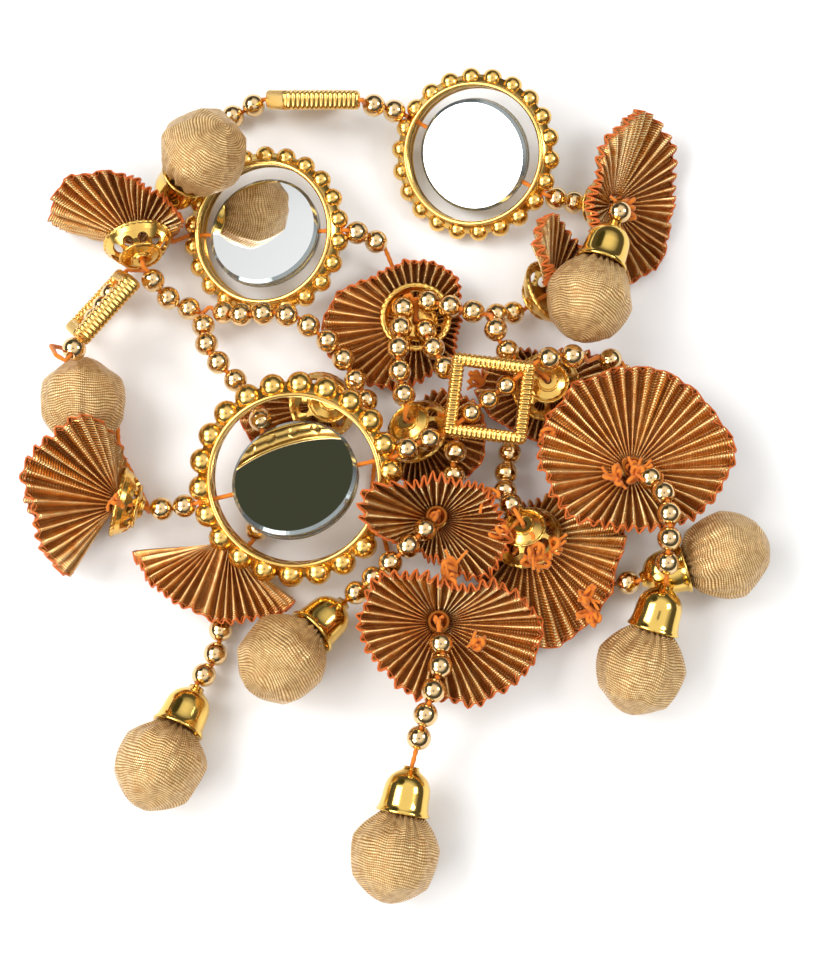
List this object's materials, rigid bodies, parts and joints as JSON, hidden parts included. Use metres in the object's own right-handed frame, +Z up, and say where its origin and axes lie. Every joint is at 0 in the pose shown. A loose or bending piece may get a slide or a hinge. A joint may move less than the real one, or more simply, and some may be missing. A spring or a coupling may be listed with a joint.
{
  "type": "braid tassel",
  "caption": "Folk braid tassel of strung metal beads, mirror medallions, square frames, pleated ribbon fans with filigree caps and cloth ball drops, lying in a loose heap.",
  "frame": {"origin": "middle of the heap's bounding box on the table it lies on", "axes": "+Z up from the table, +Y away from the camera along the heap's longer side, +X to the right"},
  "size_m": [0.2, 0.2272, 0.0384],
  "materials": {
    "cast_gold": "polished gold-coloured casting",
    "mirror_glass": "silvered glass",
    "pleated_ribbon": "pleated metallic copper-brown ribbon with orange thread edges",
    "filigree_gold": "polished pierced sheet",
    "bell_gold": "polished",
    "ball_cloth": "beige-gold metallic mesh",
    "bead_gold": "mirror-polished pale rose gold",
    "yarn": "twisted orange-yellow yarn"
  },
  "bodies": {
    "root": {"medallion_main": "cast_gold", "medallion_left": "cast_gold", "medallion_top": "cast_gold", "mirror_main": "mirror_glass", "mirror_left": "mirror_glass", "mirror_top": "mirror_glass", "square_centre": "cast_gold", "square_left": "cast_gold", "square_top": "cast_gold", "fan_1": "pleated_ribbon", "fan_2": "pleated_ribbon", "fan_3": "pleated_ribbon", "fan_4": "pleated_ribbon", "fan_5": "pleated_ribbon", "fan_6": "pleated_ribbon", "fan_7": "pleated_ribbon", "fan_8": "pleated_ribbon", "fan_9": "pleated_ribbon", "fan_10": "pleated_ribbon", "fan_11": "pleated_ribbon", "fan_12": "pleated_ribbon", "fan_13": "pleated_ribbon", "filigree_cap_1": "filigree_gold", "filigree_cap_2": "filigree_gold", "filigree_cap_4": "filigree_gold", "filigree_cap_5": "filigree_gold", "filigree_cap_6": "filigree_gold", "filigree_cap_7": "filigree_gold", "filigree_cap_8": "filigree_gold", "filigree_cup_9": "filigree_gold", "filigree_cap_10": "filigree_gold", "filigree_cap_11": "filigree_gold", "filigree_cap_12": "filigree_gold", "filigree_cap_13": "filigree_gold", "hub_cones": "filigree_gold", "bell_cap_1": "bell_gold", "bell_cap_2": "bell_gold", "bell_cap_3": "bell_gold", "bell_cap_4": "bell_gold", "bell_cap_5": "bell_gold", "bell_cap_6": "bell_gold", "bell_cap_7": "bell_gold", "bell_cap_8": "bell_gold", "ball_1": "ball_cloth", "ball_2": "ball_cloth", "ball_3": "ball_cloth", "ball_4": "ball_cloth", "ball_5": "ball_cloth", "ball_6": "ball_cloth", "ball_7": "ball_cloth", "ball_8": "ball_cloth", "beads_garland": "bead_gold", "beads_upper": "bead_gold", "beads_left": "bead_gold", "beads_centre": "bead_gold", "beads_drops_low": "bead_gold", "beads_drops_right": "bead_gold", "yarn": "yarn"}
  },
  "joints": []
}
